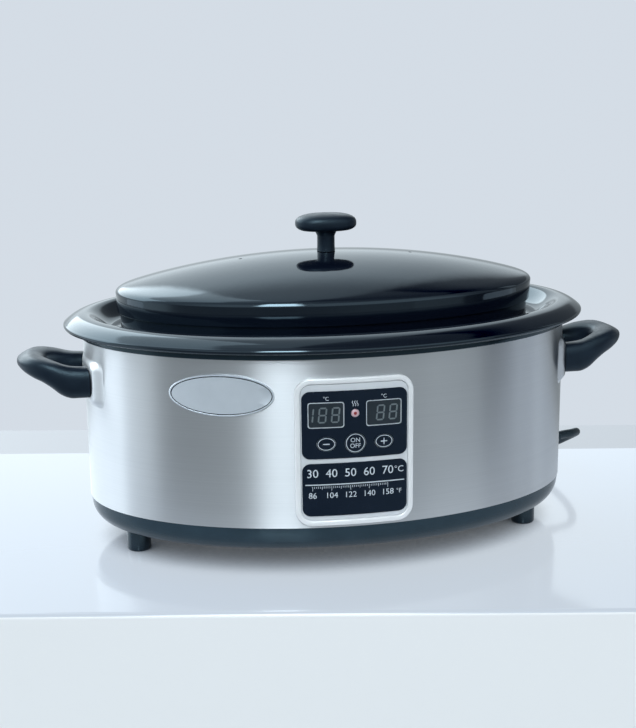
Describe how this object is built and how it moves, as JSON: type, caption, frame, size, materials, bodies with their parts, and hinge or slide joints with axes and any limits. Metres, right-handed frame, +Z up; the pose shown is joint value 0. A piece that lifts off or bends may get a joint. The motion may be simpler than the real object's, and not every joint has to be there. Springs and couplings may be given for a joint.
{
  "type": "hot stone heater",
  "caption": "Oval countertop heater with brushed steel body, lift-off enamelled pan and domed lid with oval knob, side loop handles, front control panel and coiled mains lead.",
  "frame": {"origin": "on the table, under the middle of the body", "axes": "+X to the right as seen from the front, along the oval's length; +Y to the rear, so the control panel faces -Y; +Z up"},
  "size_m": [0.4808, 0.3715, 0.2521],
  "materials": {
    "steel": "brushed along the length, satin",
    "dark_plastic": "dark slate grey, satin",
    "aluminium": "plain rolled sheet",
    "foot_plastic": "black, semi-gloss",
    "zinc": "zinc-plated steel",
    "mica": "mica sheet",
    "component_black": "black, matt",
    "board_green": "green solder mask",
    "lens_red": "red, glossy",
    "bezel_silver": "silver, satin",
    "overlay_black": "near-black film, satin",
    "window_smoke": "smoked, glossy",
    "phenolic": "slate black, satin",
    "cord_rubber": "black, matt",
    "brass": "plain",
    "enamel": "black enamel, glossy"
  },
  "bodies": {
    "housing": {"shell_band": "steel", "top_collar": "dark_plastic", "liner_well": "aluminium", "base_tray": "dark_plastic", "foot_front_left": "foot_plastic", "foot_front_right": "foot_plastic", "foot_rear_left": "foot_plastic", "foot_rear_right": "foot_plastic", "foot_screw_front_left": "zinc", "foot_screw_front_right": "zinc", "foot_screw_rear_left": "zinc", "foot_screw_rear_right": "zinc", "centre_stud": "zinc", "centre_nut": "zinc", "heater_band": "mica", "thermal_fuse": "aluminium", "ntc_sensor": "aluminium", "board_carrier": "component_black", "control_board": "board_green", "display_left": "component_black", "display_right": "component_black", "led_lamp": "lens_red", "switch_minus": "component_black", "switch_power": "component_black", "switch_plus": "component_black", "power_board": "board_green", "terminal_block": "component_black", "mains_lead_inside": "cord_rubber", "panel_bezel": "bezel_silver", "panel_plate": "bezel_silver", "control_overlay": "overlay_black", "info_label": "overlay_black", "window_left": "window_smoke", "window_right": "window_smoke", "led_lens": "lens_red", "badge_plate": "bezel_silver", "handle_left": "phenolic", "handle_right": "phenolic", "handle_pad_left": "steel", "handle_pad_right": "steel", "handle_screw_left_front": "zinc", "handle_screw_left_rear": "zinc", "handle_screw_right_front": "zinc", "handle_screw_right_rear": "zinc", "strain_relief": "cord_rubber", "power_cord": "cord_rubber", "cord_coil": "cord_rubber", "cord_tie": "cord_rubber", "plug_body": "cord_rubber", "plug_blade_upper": "brass", "plug_blade_lower": "brass", "plug_earth_pin": "brass"},
    "minus_key": {"key_minus": "overlay_black"},
    "power_key": {"key_power": "overlay_black"},
    "plus_key": {"key_plus": "overlay_black"},
    "pan_body": {"pan": "enamel"},
    "lid": {"lid_shell": "enamel", "lid_knob": "phenolic", "knob_washer": "zinc", "knob_screw": "zinc"}
  },
  "joints": [
    {"name": "minus_key_press", "type": "slide", "parent": "housing", "child": "minus_key", "axis": [0, 1, 0], "range_m": [0, 0.0004], "stiffness_N_per_m": 800},
    {"name": "power_key_press", "type": "slide", "parent": "housing", "child": "power_key", "axis": [0, 1, 0], "range_m": [0, 0.0004], "stiffness_N_per_m": 800},
    {"name": "plus_key_press", "type": "slide", "parent": "housing", "child": "plus_key", "axis": [0, 1, 0], "range_m": [0, 0.0004], "stiffness_N_per_m": 800},
    {"name": "pan_lift", "type": "slide", "parent": "housing", "child": "pan_body", "axis": [0, 0, 1], "range_m": [0, 0.16]},
    {"name": "lid_lift", "type": "slide", "parent": "pan_body", "child": "lid", "axis": [0, 0, 1], "range_m": [0, 0.2]}
  ]
}
